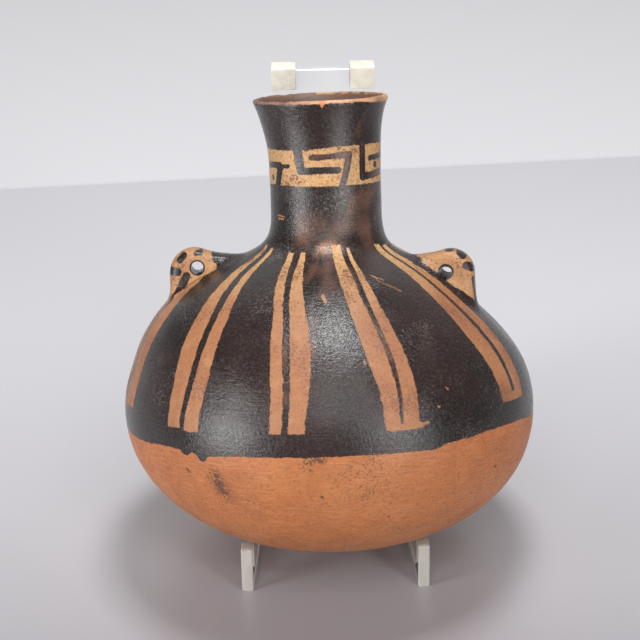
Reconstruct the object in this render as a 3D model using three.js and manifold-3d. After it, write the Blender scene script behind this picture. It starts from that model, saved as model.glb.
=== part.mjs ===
// A painted pottery jar with two pierced lugs, resting in a clear sheet stand. Millimetres, +Z up.
import * as THREE from "three";
import { mergeVertices } from "three/addons/utils/BufferGeometryUtils.js";
import Module from "manifold-3d";

const wasm = await Module();
wasm.setup();

// Jar: heights run up its own axis from the widest level
const BODY_RADIUS = 103.2;
const BASE_DROP = 73;
const BASE_FULLNESS = 2.15;
const SHOULDER_HEIGHT = 84.4;
const SHOULDER_FULLNESS = 1.82;
const NECK_RADIUS = 27.4;
const NECK_FILLET = 22.6;
const NECK_FOOT_RISE = 11;
const NECK_LENGTH = 56.1;
const NECK_FLARE = 4;
const RIM_RADIUS = 33.6;
const WALL = 4.8;
const LEAN_BACK = THREE.MathUtils.degToRad(18);
const SIDE_SET = 0.9;

const SHOULDER_END_RADIUS = NECK_RADIUS + NECK_FILLET;
const NECK_START = SHOULDER_HEIGHT + NECK_FOOT_RISE;
const RIM_HEIGHT = NECK_START + NECK_LENGTH;

// The hand-built wall drifts sideways: the share of the height up to the rim, or down to the base,
// and the offset there
const DRIFT = [
  [-1, 0],
  [0.1, -2.2],
  [0.37, -6.9],
  [0.58, -1.5],
  [1, -4.1],
];
const RIM_TILT = THREE.MathUtils.degToRad(1.1);

// Lugs: round eyes on webs that run down onto the shoulder, each set and pierced by hand
const LUG_EYE_RADIUS = 12.3;
const LUG_STAND_OUT = 6.2;
const LUG_BELOW_SHOULDER = 17.5;
const LUG_THICKNESS = 15;
const LUG_EDGE = 4.4;
const LUG_HOLE_RADIUS = 3.15;
const LUG_SHIFT = -3.9;
const LUG_SADDLE_ANGLE = THREE.MathUtils.degToRad(115);
const LUG_WEB = 8;
const LUG_TOE = 2.5;
const LUG_DROP = 22;
const LUGS = [
  { side: -1, rise: 1.8, saddle: 7.6, turn: 0, holeOut: -1, holeUp: 2.1, holeDip: 0 },
  { side: 1, rise: -1.9, saddle: 9.3, turn: 9, holeOut: -1.8, holeUp: 2, holeDip: 7 },
];

// Stand: everything is cut from one thickness of clear sheet
const SHEET = 6;
const EDGE_ROUND = 0.6;
const GAP = 0.3;
const FLOOR_CLEARANCE = 4.2;
const LIP_HEIGHT = 24.2;
const LIP_CORNER = 2.2;
const LIP_DEPTH = 8.4;
const LIP_BACK_SLOPE = 3;
const RUNNER_SPREAD = 44.5;
const RUNNER_TOE_IN = THREE.MathUtils.degToRad(4);
const BAR_CLEARANCE = 2;
const BRACE_HEIGHT = 22;
const BRACE_LENGTH = 30;
const PANEL_HEIGHT = 222.5;
const PANEL_WIDTH = 53.6;
const PANEL_FOOT_MARGIN = 4.5;
const PANEL_CORNER = 3;

// Pads: soft channels folded over the panel's top corners
const PAD_WIDTH = 12.8;
const PAD_WALL = 1.6;
const PAD_FLAP = 10.4;
const PAD_EDGE = 0.4;

// Mesh fineness
const AROUND = 60;
const ROWS = { base: 10, shoulder: 8, fillet: 6, neck: 6, lip: 6 };
const INNER_STEP = 2;
const HOLE_SIDES = 20;
const CURVE_STEPS = 6;
const BEVEL_STEPS = 2;
const LUG_BEVEL_STEPS = 3;
const CONTACT_SAMPLES = 30;
const MERGE_WITHIN = 1e-4;

const clay = { color: 0xb06a3c, roughness: 0.6, metalness: 0 };
const clearSheet = { color: 0xeef3f2, roughness: 0.08, metalness: 0, transparent: true, opacity: 0.35 };
const padRubber = { color: 0xe6e0d0, roughness: 0.45, metalness: 0 };

const V2 = (x, y) => new THREE.Vector2(x, y);

// A point on one quarter of a rounded diamond-to-square curve, from the top of the axis to the widest level
function quarterPoint(angle, radius, height, fullness) {
  const power = 2 / fullness;
  return V2(radius * Math.sin(angle) ** power, height * Math.cos(angle) ** power);
}

// Outer outline from the base's pole up to the rim, as radius and height
function outerOutline() {
  const points = [];
  for (let i = 0; i <= ROWS.base; i++) {
    const p = quarterPoint((i / ROWS.base) * (Math.PI / 2), BODY_RADIUS, BASE_DROP, BASE_FULLNESS);
    points.push(V2(p.x, -p.y));
  }
  points[0].x = 0;
  const endAngle = Math.asin((SHOULDER_END_RADIUS / BODY_RADIUS) ** (SHOULDER_FULLNESS / 2));
  for (let i = 1; i <= ROWS.shoulder; i++) {
    const angle = Math.PI / 2 + (i / ROWS.shoulder) * (endAngle - Math.PI / 2);
    points.push(quarterPoint(angle, BODY_RADIUS, SHOULDER_HEIGHT, SHOULDER_FULLNESS));
  }
  const shoulderEnd = points[points.length - 1];
  const smallTurn = 0.01;
  const nearEnd = quarterPoint(endAngle + smallTurn, BODY_RADIUS, SHOULDER_HEIGHT, SHOULDER_FULLNESS);
  const slope = shoulderEnd.clone().sub(nearEnd).normalize();
  const neckBase = V2(NECK_RADIUS, NECK_START);
  const reach = shoulderEnd.distanceTo(neckBase) / 2;
  const fillet = new THREE.CubicBezierCurve(
    shoulderEnd,
    shoulderEnd.clone().addScaledVector(slope, reach),
    V2(NECK_RADIUS, NECK_START - reach),
    neckBase,
  );
  points.push(...fillet.getPoints(ROWS.fillet).slice(1));
  for (let i = 1; i <= ROWS.neck; i++) {
    const share = i / ROWS.neck;
    const flare = (RIM_RADIUS - NECK_RADIUS) * share ** NECK_FLARE;
    points.push(V2(NECK_RADIUS + flare, NECK_START + share * (RIM_HEIGHT - NECK_START)));
  }
  return points;
}

// Radius of the full shoulder curve at a height
function shoulderRadius(height) {
  const share = (height / SHOULDER_HEIGHT) ** SHOULDER_FULLNESS;
  return BODY_RADIUS * (1 - share) ** (1 / SHOULDER_FULLNESS);
}

// The same outline moved inwards through the wall; its pole stays on the axis
function insetOutline(outline, depth) {
  return outline.map((point, i) => {
    const before = outline[Math.max(i - 1, 0)];
    const after = outline[Math.min(i + 1, outline.length - 1)];
    const along = i === 0 ? V2(1, 0) : after.clone().sub(before).normalize();
    if (i === outline.length - 1) along.set(0, 1);
    return V2(Math.max(point.x - along.y * depth, 0), point.y + along.x * depth);
  });
}

// Half circle over the rim, from the outer edge to the inner one
function lipArc(outer, inner) {
  const centre = outer.clone().add(inner).multiplyScalar(0.5);
  const radius = outer.distanceTo(inner) / 2;
  const arc = [];
  for (let i = 1; i < ROWS.lip; i++) {
    const angle = (i / ROWS.lip) * Math.PI;
    arc.push(V2(centre.x + radius * Math.cos(angle), centre.y + radius * Math.sin(angle)));
  }
  return arc;
}

// Sideways drift of the wall at a height on the axis
function drift(height) {
  const share = height < 0 ? height / BASE_DROP : height / RIM_HEIGHT;
  const last = DRIFT.findIndex(([at]) => at >= share);
  if (last < 1) return last === 0 ? DRIFT[0][1] : DRIFT[DRIFT.length - 1][1];
  const [from, start] = DRIFT[last - 1];
  const [to, end] = DRIFT[last];
  return start + (end - start) * THREE.MathUtils.smoothstep(share, from, to);
}

// Turns an outline round the axis, then lets the wall drift and the rim tilt
function turned(outline) {
  const geometry = new THREE.LatheGeometry(outline, AROUND);
  geometry.rotateX(Math.PI / 2);
  const place = geometry.getAttribute("position");
  for (let i = 0; i < place.count; i++) {
    const [x, z] = [place.getX(i), place.getZ(i)];
    const rise = THREE.MathUtils.smoothstep(z, NECK_START, RIM_HEIGHT) * Math.tan(RIM_TILT) * x;
    place.setXYZ(i, x + drift(z), place.getY(i), z + rise);
  }
  return geometry;
}

function toSolid(geometry) {
  const bare = geometry.clone();
  bare.deleteAttribute("normal");
  bare.deleteAttribute("uv");
  const merged = mergeVertices(bare, MERGE_WITHIN);
  const vertProperties = new Float32Array(merged.getAttribute("position").array);
  const triVerts = new Uint32Array(merged.index.array);
  return new wasm.Manifold(new wasm.Mesh({ numProp: 3, vertProperties, triVerts }));
}

function toGeometry(solid) {
  const mesh = solid.getMesh();
  const geometry = new THREE.BufferGeometry();
  geometry.setAttribute("position", new THREE.BufferAttribute(mesh.vertProperties, 3));
  geometry.setIndex(new THREE.BufferAttribute(mesh.triVerts, 1));
  geometry.computeVertexNormals();
  return geometry;
}

// A sheet of rounded outline, its thickness centred on zero, with softened edges
function roundedSheet(shape, thickness, edge, bevelSegments = BEVEL_STEPS) {
  const depth = thickness - 2 * edge;
  const bevel = { bevelSize: edge, bevelThickness: edge, bevelOffset: -edge, bevelSegments };
  const geometry = new THREE.ExtrudeGeometry(shape, { depth, curveSegments: CURVE_STEPS, ...bevel });
  return geometry.translate(0, 0, -depth / 2);
}

// A lug in its own plane: outwards is x, up is y, and the eye's centre is at zero.
// Its straight ends lie inside the jar's wall, where they are cut away
function lugShape(saddle) {
  const root = SHOULDER_END_RADIUS - lugReach - LUG_WEB;
  const foot = -LUG_DROP - LUG_WEB;
  const joins = V2(Math.cos(LUG_SADDLE_ANGLE), Math.sin(LUG_SADDLE_ANGLE)).multiplyScalar(LUG_EYE_RADIUS);
  const shape = new THREE.Shape();
  shape.moveTo(root - LUG_WEB, saddle);
  shape.lineTo(root, saddle);
  shape.quadraticCurveTo(-LUG_EYE_RADIUS, saddle, joins.x, joins.y);
  shape.absarc(0, 0, LUG_EYE_RADIUS, LUG_SADDLE_ANGLE, 0, true);
  shape.quadraticCurveTo(LUG_EYE_RADIUS, -LUG_EYE_RADIUS, LUG_EYE_RADIUS + LUG_TOE, -LUG_DROP);
  shape.lineTo(LUG_EYE_RADIUS + LUG_TOE, foot);
  shape.lineTo(root - LUG_WEB, foot);
  return shape;
}

// How far the eye's centre lies from the axis, and how high
const lugReach = shoulderRadius(SHOULDER_HEIGHT - LUG_BELOW_SHOULDER) + LUG_STAND_OUT;
const lugHeight = (lug) => SHOULDER_HEIGHT - LUG_BELOW_SHOULDER + lug.rise;

function lugSolid(lug, core) {
  const fin = roundedSheet(lugShape(lug.saddle), LUG_THICKNESS, LUG_EDGE, LUG_BEVEL_STEPS);
  fin.rotateX(Math.PI / 2);
  fin.translate(lugReach, 0, lugHeight(lug));
  if (lug.side < 0) fin.rotateZ(Math.PI);
  fin.rotateZ(THREE.MathUtils.degToRad(-lug.side * lug.turn));
  return toSolid(fin.translate(LUG_SHIFT, 0, 0)).subtract(core);
}

function lugHole(lug) {
  const length = 2 * LUG_THICKNESS;
  const drill = new THREE.CylinderGeometry(LUG_HOLE_RADIUS, LUG_HOLE_RADIUS, length, HOLE_SIDES);
  drill.rotateX(THREE.MathUtils.degToRad(-lug.holeDip));
  drill.translate(lug.side * (lugReach + lug.holeOut), 0, lugHeight(lug) + lug.holeUp);
  drill.rotateZ(THREE.MathUtils.degToRad(-lug.side * lug.turn));
  return toSolid(drill.translate(LUG_SHIFT, 0, 0));
}

function jarGeometry() {
  const outer = outerOutline();
  const inner = insetOutline(outer, WALL);
  const arc = lipArc(outer[outer.length - 1], inner[outer.length - 1]);
  const last = inner.length - 1;
  const plainer = inner.filter((_, i) => i === 0 || (last - i) % INNER_STEP === 0);
  const shell = toSolid(turned([...outer, ...arc, ...plainer.reverse()]));
  const middle = insetOutline(outer, WALL / 2);
  middle.push(V2(0, RIM_HEIGHT));
  const core = toSolid(turned(middle));
  const withLugs = LUGS.reduce((solid, lug) => solid.add(lugSolid(lug, core)), shell);
  return toGeometry(LUGS.reduce((solid, lug) => solid.subtract(lugHole(lug)), withLugs));
}

// Height of a mesh's underside over a point of the floor
function undersideAt(mesh, x, y) {
  const up = new THREE.Raycaster(new THREE.Vector3(x, y, 0), new THREE.Vector3(0, 0, 1));
  const hits = up.intersectObject(mesh);
  return hits.length ? hits[0].distance : Infinity;
}

// How far forward a level at the given height runs before it meets the jar's rounded underside
function meetsUnderside(mesh, x, height) {
  let near = 0;
  let far = -BODY_RADIUS;
  for (let i = 0; i < CONTACT_SAMPLES; i++) {
    const middle = (near + far) / 2;
    if (undersideAt(mesh, x, middle) > height) far = middle;
    else near = middle;
  }
  return far;
}

// A closed outline through corners [x, y, radius]
function roundedShape(corners) {
  const shape = new THREE.Shape();
  corners.forEach(([x, y, radius], i) => {
    const [beforeX, beforeY] = corners[(i + corners.length - 1) % corners.length];
    const [afterX, afterY] = corners[(i + 1) % corners.length];
    const corner = V2(x, y);
    const start = V2(beforeX, beforeY).sub(corner).setLength(radius).add(corner);
    const end = V2(afterX, afterY).sub(corner).setLength(radius).add(corner);
    if (i === 0) shape.moveTo(start.x, start.y);
    else shape.lineTo(start.x, start.y);
    if (radius) shape.quadraticCurveTo(x, y, end.x, end.y);
  });
  return shape;
}

// The runners' middle line drifts inwards as it runs back
const runnerSide = (along) => RUNNER_SPREAD - along * Math.tan(RUNNER_TOE_IN);

// The jar's lowest underside over the inner face of a runner
function lowestOverRunner(mesh, front, back) {
  const heights = [];
  for (let i = 0; i <= CONTACT_SAMPLES; i++) {
    const along = ((back - front) * i) / CONTACT_SAMPLES;
    heights.push(undersideAt(mesh, runnerSide(along) - SHEET / 2, front + along));
  }
  return Math.min(...heights);
}

// Side outline of a runner: along the floor is x, up is y, from the front of its lip to the panel
function runnerShape(length, barHeight) {
  return roundedShape([
    [0, 0, 0],
    [0, LIP_HEIGHT, LIP_CORNER],
    [LIP_DEPTH, LIP_HEIGHT, LIP_CORNER / 2],
    [LIP_DEPTH + LIP_BACK_SLOPE, barHeight, LIP_BACK_SLOPE],
    [length - BRACE_LENGTH, barHeight, LIP_BACK_SLOPE],
    [length, BRACE_HEIGHT, 0],
    [length, 0, 0],
  ]);
}

function runnerMesh(side, front, back, barHeight) {
  const corner = (SHEET / 2) * Math.sin(RUNNER_TOE_IN);
  const length = (back - front - corner) / Math.cos(RUNNER_TOE_IN);
  const geometry = roundedSheet(runnerShape(length, barHeight), SHEET, EDGE_ROUND);
  geometry.rotateX(Math.PI / 2).rotateZ(Math.PI / 2);
  const mesh = new THREE.Mesh(geometry, new THREE.MeshStandardMaterial(clearSheet));
  mesh.position.set(side * RUNNER_SPREAD, front, 0);
  mesh.rotation.z = side * RUNNER_TOE_IN;
  return mesh;
}

// Front outline of the panel: a foot as wide as the runners' ends, that narrows to the upright
function panelShape(runnerLength) {
  const half = PANEL_WIDTH / 2;
  const foot = runnerSide(runnerLength) + SHEET / 2 + PANEL_FOOT_MARGIN;
  const footHeight = BRACE_HEIGHT + PANEL_FOOT_MARGIN;
  const blend = 2 * Math.abs(foot - half);
  return roundedShape([
    [-foot, 0, PANEL_CORNER / 2],
    [foot, 0, PANEL_CORNER / 2],
    [foot, footHeight, PANEL_CORNER],
    [half, footHeight + blend, blend / 2],
    [half, PANEL_HEIGHT, PANEL_CORNER / 2],
    [-half, PANEL_HEIGHT, PANEL_CORNER / 2],
    [-half, footHeight + blend, blend / 2],
    [-foot, footHeight, PANEL_CORNER],
  ]);
}

function panelMesh(front, runnerLength) {
  const geometry = roundedSheet(panelShape(runnerLength), SHEET, EDGE_ROUND);
  geometry.rotateX(Math.PI / 2);
  const mesh = new THREE.Mesh(geometry, new THREE.MeshStandardMaterial(clearSheet));
  mesh.position.y = front + SHEET / 2;
  return mesh;
}

// Channel over the panel's top edge, seen from the side: across the sheet is x, up is y
function padShape() {
  const inside = SHEET / 2 + GAP;
  const outside = inside + PAD_WALL;
  const low = PANEL_HEIGHT - PAD_FLAP;
  const under = PANEL_HEIGHT + GAP;
  const top = under + PAD_WALL;
  return roundedShape([
    [-outside, low, 0],
    [-outside, top, PAD_WALL],
    [outside, top, PAD_WALL],
    [outside, low, 0],
    [inside, low, 0],
    [inside, under, 0],
    [-inside, under, 0],
    [-inside, low, 0],
  ]);
}

function padMesh(side, panelMiddle) {
  const geometry = roundedSheet(padShape(), PAD_WIDTH, PAD_EDGE);
  geometry.rotateX(Math.PI / 2).rotateZ(Math.PI / 2);
  const mesh = new THREE.Mesh(geometry, new THREE.MeshStandardMaterial(padRubber));
  mesh.position.set((side * (PANEL_WIDTH - PAD_WIDTH)) / 2, panelMiddle, 0);
  return mesh;
}

// The jar leans back; its lowest point stays clear of the floor
const vessel = new THREE.Mesh(jarGeometry(), new THREE.MeshStandardMaterial(clay));
vessel.rotation.x = -LEAN_BACK;
vessel.position.x = SIDE_SET;
vessel.position.z = FLOOR_CLEARANCE - new THREE.Box3().setFromObject(vessel, true).min.z;
const vesselBox = new THREE.Box3().setFromObject(vessel, true);

// The stand is set out from where the jar touches it
const lipInside = meetsUnderside(vessel, RUNNER_SPREAD - SHEET / 2, LIP_HEIGHT + GAP);
const runnerFront = lipInside - LIP_DEPTH;
const panelFront = vesselBox.max.y + GAP;
const runnerBack = panelFront - GAP;
const barHeight = lowestOverRunner(vessel, runnerFront, runnerBack) - BAR_CLEARANCE;

const pieces = {
  vessel,
  stand_back_panel: panelMesh(panelFront, runnerBack - runnerFront),
  stand_runner_left: runnerMesh(-1, runnerFront, runnerBack, barHeight),
  stand_runner_right: runnerMesh(1, runnerFront, runnerBack, barHeight),
  corner_pad_left: padMesh(-1, panelFront + SHEET / 2),
  corner_pad_right: padMesh(1, panelFront + SHEET / 2),
};

// The frame's origin is under the middle of the whole piece, on the floor
const group = new THREE.Group();
for (const [name, mesh] of Object.entries(pieces)) {
  mesh.name = name;
  group.add(mesh);
}
const middle = new THREE.Box3().setFromObject(group, true).getCenter(new THREE.Vector3());
for (const mesh of group.children) {
  mesh.position.x -= middle.x;
  mesh.position.y -= middle.y;
}

export default group;
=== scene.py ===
"""A painted pottery jar with pierced lugs, leaning back in its clear sheet stand."""

import math

import bmesh
import bpy
from mathutils import Matrix, Vector, noise


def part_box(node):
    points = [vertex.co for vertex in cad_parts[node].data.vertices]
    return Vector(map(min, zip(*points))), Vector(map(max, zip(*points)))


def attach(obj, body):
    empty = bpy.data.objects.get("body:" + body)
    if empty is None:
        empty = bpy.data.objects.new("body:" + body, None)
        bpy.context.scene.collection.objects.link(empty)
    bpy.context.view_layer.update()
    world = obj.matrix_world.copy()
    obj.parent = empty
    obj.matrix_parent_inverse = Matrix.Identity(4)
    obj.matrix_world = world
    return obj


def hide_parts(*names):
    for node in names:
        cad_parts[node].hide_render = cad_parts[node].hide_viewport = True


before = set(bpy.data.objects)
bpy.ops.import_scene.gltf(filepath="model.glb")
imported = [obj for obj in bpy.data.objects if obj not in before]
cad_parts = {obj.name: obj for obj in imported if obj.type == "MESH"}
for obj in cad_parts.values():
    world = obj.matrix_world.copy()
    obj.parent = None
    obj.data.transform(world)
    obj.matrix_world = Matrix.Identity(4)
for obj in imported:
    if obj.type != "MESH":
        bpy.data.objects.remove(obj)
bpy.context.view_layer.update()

bl_info = {
    "name": "Painted pottery jar",
    "version": (1, 0, 0),
    "blender": (4, 5, 0),
    "location": "3D View > Sidebar > Pottery",
    "description": "Builds a painted jar with pierced lugs and the clear stand that it leans in",
    "category": "Add Mesh",
}

MM = 0.001

# Curves of the jar, as the radius and height on its own axis
BASE_FULLNESS = 2.15
SHOULDER_FULLNESS = 1.82
NECK_FOOT_RISE = 11 * MM
NECK_FILLET = 22.6 * MM
NECK_FLARE = 4
LIP_TAPER = 0.33
LIP_TAPER_LENGTH = 25 * MM
RIM_SLANT = math.radians(1.1)
DRIFT = ((-1, 0), (0.1, -2.2), (0.37, -6.9), (0.58, -1.4), (0.8, -1.6), (1, -3.2))
LUGS = (
    {"side": -1, "rise": 0.8, "saddle": 8.6, "turn": 0, "hole_out": -1.8, "hole_up": 3.1, "dip": 0},
    {"side": 1, "rise": -1.2, "saddle": 9.3, "turn": 9, "hole_out": -1.8, "hole_up": 1.5, "dip": 7},
)
LUG_BELOW_SHOULDER = 17.5 * MM
LUG_REACH = 7 * MM
LUGS_TO_LEFT = 3.9 * MM
LUG_THICKNESS = 15 * MM
LUG_ROUNDING = 4.4 * MM
LUG_HOLE = 3.15 * MM
VOXEL = 1.95 * MM
SHARP_ANGLE = math.radians(50)

# Unevenness of the hand-built wall: how many to the metre, how deep in mm, and the heights where it grows
DENTS_PER_METRE, RIPPLES_PER_METRE = 28, 85
DENT_DEPTH, RIPPLE_DEPTH = 0.35, 0.12
DENTED_FROM = (-60 * MM, -20 * MM)

# Where the stand and the jar are, to the right of the frame's middle, back and up
STAND_MIDDLE = 1.25 * MM
RUNNER_OUT = 44.5 * MM
RUNNER_FRONT = -51.52 * MM
RUNNER_LENGTH = 148.4 * MM
RUNNER_SPLAY = math.radians(4)
PAD_WALL = 1.6 * MM
JAR_CENTRE = (0.9 * MM, -3.68 * MM, 81.86 * MM)

# The jar's wrapped map, its painted zones in the order of their materials, and their limits in mm
WRAP = "wrap"
WRAP_LOW = -80 * MM
WRAP_SPAN = 240 * MM
NECK, SHOULDER, LUG, BASE = range(4)
BASE_TOP, SHOULDER_TOP, NECK_TOP = 0, 92, 152
BAND_FOOT, BAND_HEAD = (111.8, 112.3), (129.6, 130.1)
LIP_EDGE = (152.3, 153.1)
CHIP_TIP = 150.5

# Millimetres to the degree on the flat maps of the shoulder and of the neck
MAP_SCALE = 1.5
NECK_MAP_SCALE = math.radians(28)


# sizes and colours

class JarSettings(bpy.types.PropertyGroup):
    body_radius: bpy.props.FloatProperty(
        name="Body radius", description="Half the width of the jar at its widest level",
        default=103.2 * MM, unit="LENGTH")
    base_drop: bpy.props.FloatProperty(
        name="Base drop", description="Depth of the base under the widest level",
        default=73 * MM, unit="LENGTH")
    shoulder_height: bpy.props.FloatProperty(
        name="Shoulder height", description="Rise of the shoulder's curve over the widest level",
        default=84.4 * MM, unit="LENGTH")
    neck_radius: bpy.props.FloatProperty(
        name="Neck radius", description="Radius of the neck at its foot",
        default=27.7 * MM, unit="LENGTH")
    neck_length: bpy.props.FloatProperty(
        name="Neck length", description="From the foot of the neck up to the rim",
        default=57.4 * MM, unit="LENGTH")
    rim_radius: bpy.props.FloatProperty(
        name="Rim radius", description="Outer radius of the flared rim",
        default=33.9 * MM, unit="LENGTH")
    wall: bpy.props.FloatProperty(
        name="Wall", description="Thickness of the fired clay", default=4.8 * MM, unit="LENGTH")
    lean: bpy.props.FloatProperty(
        name="Lean", description="How far the jar leans back in its stand",
        default=math.radians(18), subtype="ANGLE")
    clay: bpy.props.FloatVectorProperty(
        name="Bare clay", description="Colour of the unpainted clay",
        default=(0.45, 0.150, 0.044), subtype="COLOR")
    slip: bpy.props.FloatVectorProperty(
        name="Dark slip", description="Colour of the burnished dark slip",
        default=(0.011, 0.0078, 0.0070), subtype="COLOR")
    buff: bpy.props.FloatVectorProperty(
        name="Buff paint", description="Colour of the stripes and of the band",
        default=(0.345, 0.150, 0.064), subtype="COLOR")


class StandSettings(bpy.types.PropertyGroup):
    sheet: bpy.props.FloatProperty(
        name="Sheet", description="Thickness of the clear sheet", default=6 * MM, unit="LENGTH")
    lip_height: bpy.props.FloatProperty(
        name="Lip height", description="Height of the runners' front lips",
        default=24.2 * MM, unit="LENGTH")
    bar_height: bpy.props.FloatProperty(
        name="Bar height", description="Height of the runners under the jar",
        default=6.1 * MM, unit="LENGTH")
    edge_round: bpy.props.FloatProperty(
        name="Edge round", description="Polished rounding of the sheet's edges",
        default=1.0 * MM, unit="LENGTH")
    face: bpy.props.FloatVectorProperty(
        name="Sheet face", description="Faint colour of the sheet's broad faces",
        default=(0.80, 0.82, 0.82), subtype="COLOR")
    edge: bpy.props.FloatVectorProperty(
        name="Sheet edge", description="Milky colour of the sheet's polished edges",
        default=(0.50, 0.47, 0.43), subtype="COLOR")
    pad: bpy.props.FloatVectorProperty(
        name="Pad colour", description="Colour of the soft corner pads",
        default=(0.74, 0.69, 0.565), subtype="COLOR")


class StageSettings(bpy.types.PropertyGroup):
    # Painted shade: the floor is coloured darker nearest the camera, where less light falls, and lighter
    # behind the jar.
    front: bpy.props.FloatVectorProperty(
        name="Floor in front", description="Colour of the floor nearest the camera",
        default=(0.245, 0.232, 0.253), subtype="COLOR")
    floor: bpy.props.FloatVectorProperty(
        name="Floor", description="Colour of the floor behind the jar", default=(0.62, 0.615, 0.646),
        subtype="COLOR")
    backdrop: bpy.props.FloatVectorProperty(
        name="Backdrop", description="Colour of the backdrop", default=(0.68, 0.675, 0.70),
        subtype="COLOR")


# mesh helpers

def finish_piece(bm, name, materials, nodes):
    """Makes a smooth object at the origin from a bmesh, attaches it to the root body, and hides the CAD nodes
    that it stands for.
    """
    piece = loose_object(bm, name)
    mesh = piece.data
    mesh.polygons.foreach_set("use_smooth", [True] * len(mesh.polygons))
    mesh.set_sharp_from_angle(angle=SHARP_ANGLE)
    for material in materials:
        mesh.materials.append(material)
    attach(piece, "root")
    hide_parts(*nodes)
    return piece


def loose_object(bm, name):
    mesh = bpy.data.meshes.new(name)
    bm.to_mesh(mesh)
    bm.free()
    made = bpy.data.objects.new(name, mesh)
    bpy.context.scene.collection.objects.link(made)
    return made


def bake_modifiers(piece):
    """Applies an object's modifiers to its own mesh."""
    bpy.context.view_layer.update()
    graph = bpy.context.evaluated_depsgraph_get()
    mesh = bpy.data.meshes.new_from_object(piece.evaluated_get(graph))
    piece.modifiers.clear()
    old = piece.data
    piece.data = mesh
    bpy.data.meshes.remove(old)


def cut_or_join(piece, tool, operation):
    change = piece.modifiers.new("shape", "BOOLEAN")
    change.operation = operation
    change.solver = "EXACT"
    change.object = tool
    bake_modifiers(piece)
    bpy.data.objects.remove(tool)


def rounded_outline(corners, steps=6):
    """Points round a closed outline; each corner is (x, y, radius)."""
    points = []
    for i, (x, y, radius) in enumerate(corners):
        here = Vector((x, y))
        if not radius:
            points.append(here)
            continue
        before = here + (Vector(corners[i - 1][:2]) - here).normalized() * radius
        after = here + (Vector(corners[(i + 1) % len(corners)][:2]) - here).normalized() * radius
        for k in range(steps + 1):
            t = k / steps
            points.append(before * (1 - t) ** 2 + here * 2 * t * (1 - t) + after * t * t)
    return points


def sheet_from_outline(points, thickness, edge, segments=4):
    """A sheet in the XZ plane, its thickness centred on Y, with rounded edges."""
    bm = bmesh.new()
    verts = [bm.verts.new((p.x, -thickness / 2, p.y)) for p in points]
    face = bm.faces.new(verts)
    swept = bmesh.ops.extrude_face_region(bm, geom=[face])
    moved = [v for v in swept["geom"] if isinstance(v, bmesh.types.BMVert)]
    bmesh.ops.translate(bm, verts=moved, vec=(0, thickness, 0))
    bmesh.ops.recalc_face_normals(bm, faces=bm.faces)
    rims = [e for e in bm.edges if abs(e.verts[0].co.y - e.verts[1].co.y) < thickness / 4]
    bmesh.ops.bevel(bm, geom=rims, offset=edge, offset_type="OFFSET", segments=segments,
                    profile=0.5, affect="EDGES", clamp_overlap=False, material=-1)
    bmesh.ops.recalc_face_normals(bm, faces=bm.faces)
    bm.normal_update()
    for face in bm.faces:
        face.material_index = 0 if abs(face.normal.y) > 0.99 else 1
    return bm


# the jar's shape

def quarter_point(angle, radius, height, fullness):
    power = 2 / fullness
    return Vector((radius * max(math.sin(angle), 0) ** power, height * max(math.cos(angle), 0) ** power))


def smooth_step(value, low, high):
    t = min(max((value - low) / (high - low), 0), 1)
    return t * t * (3 - 2 * t)


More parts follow.
